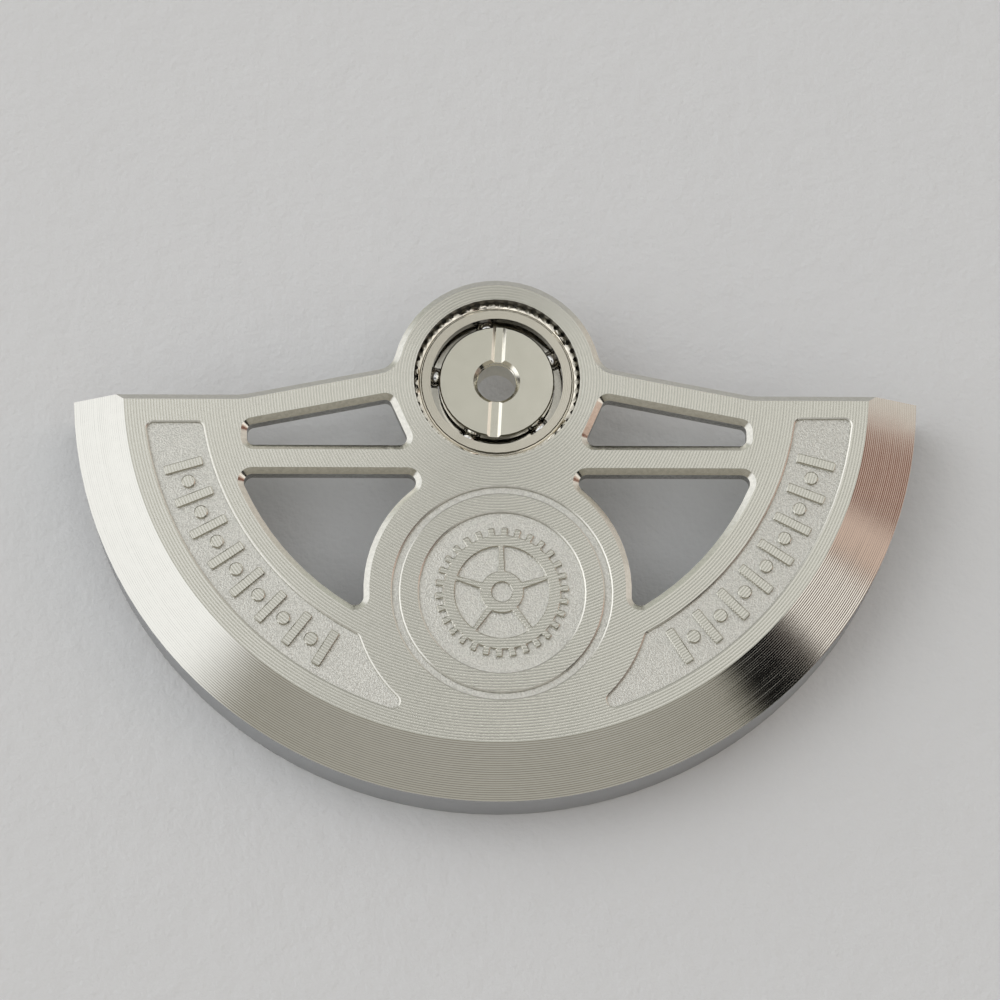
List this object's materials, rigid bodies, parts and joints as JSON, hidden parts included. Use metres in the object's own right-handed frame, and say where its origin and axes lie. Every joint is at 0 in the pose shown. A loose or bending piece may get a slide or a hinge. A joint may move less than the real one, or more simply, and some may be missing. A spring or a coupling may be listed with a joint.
{
  "type": "automatic watch rotor",
  "caption": "Half-ring winding weight with a windowed plate, bevelled heavy rim and sunk panels, turning on a small caged ball bearing with a winding pinion.",
  "frame": {"origin": "centre of the ball bearing: on its axis, in the plane of the ball centres", "axes": "+Z along the bearing axis, from the movement towards the case back; the weight hangs towards -Y; +X along the straight upper edge"},
  "size_m": [0.026, 0.0162, 0.0031],
  "materials": {
    "rotor_nickel": "nickel-plated, turned and sandblasted",
    "ring_steel": "turned",
    "cage_steel": "satin",
    "race_steel": "fine ground",
    "ball_steel": "polished"
  },
  "bodies": {
    "bearing_core": {"inner_race_upper": "race_steel", "inner_race_lower": "race_steel"},
    "rotor": {"rotor_body": "rotor_nickel", "bearing_outer_ring": "ring_steel"},
    "cage": {"bearing_cage": "cage_steel"},
    "ball_1_body": {"ball_1": "ball_steel"},
    "ball_2_body": {"ball_2": "ball_steel"},
    "ball_3_body": {"ball_3": "ball_steel"},
    "ball_4_body": {"ball_4": "ball_steel"},
    "ball_5_body": {"ball_5": "ball_steel"}
  },
  "joints": [
    {"name": "rotor_spin", "type": "hinge", "parent": "bearing_core", "child": "rotor", "pos_m": [0, 0, 0], "axis": [0, 0, 1], "continuous": true},
    {"name": "cage_spin", "type": "hinge", "parent": "bearing_core", "child": "cage", "pos_m": [0, 0, 0], "axis": [0, 0, 1], "continuous": true},
    {"name": "ball_1_roll", "type": "hinge", "parent": "cage", "child": "ball_1_body", "pos_m": [0.00171, 0.00087, 0], "axis": [0, 0, 1], "continuous": true},
    {"name": "ball_2_roll", "type": "hinge", "parent": "cage", "child": "ball_2_body", "pos_m": [-0.0003, 0.00189, 0], "axis": [0, 0, 1], "continuous": true},
    {"name": "ball_3_roll", "type": "hinge", "parent": "cage", "child": "ball_3_body", "pos_m": [-0.00189, 0.0003, 0], "axis": [0, 0, 1], "continuous": true},
    {"name": "ball_4_roll", "type": "hinge", "parent": "cage", "child": "ball_4_body", "pos_m": [-0.00087, -0.00171, 0], "axis": [0, 0, 1], "continuous": true},
    {"name": "ball_5_roll", "type": "hinge", "parent": "cage", "child": "ball_5_body", "pos_m": [0.00135, -0.00135, 0], "axis": [0, 0, 1], "continuous": true}
  ],
  "couplings": [
    {"joint": "cage_spin", "follows": "rotor_spin", "ratio": 0.55172},
    {"joint": "ball_1_roll", "follows": "rotor_spin", "ratio": 4.7819},
    {"joint": "ball_2_roll", "follows": "rotor_spin", "ratio": 4.7819},
    {"joint": "ball_3_roll", "follows": "rotor_spin", "ratio": 4.7819},
    {"joint": "ball_4_roll", "follows": "rotor_spin", "ratio": 4.7819},
    {"joint": "ball_5_roll", "follows": "rotor_spin", "ratio": 4.7819}
  ]
}
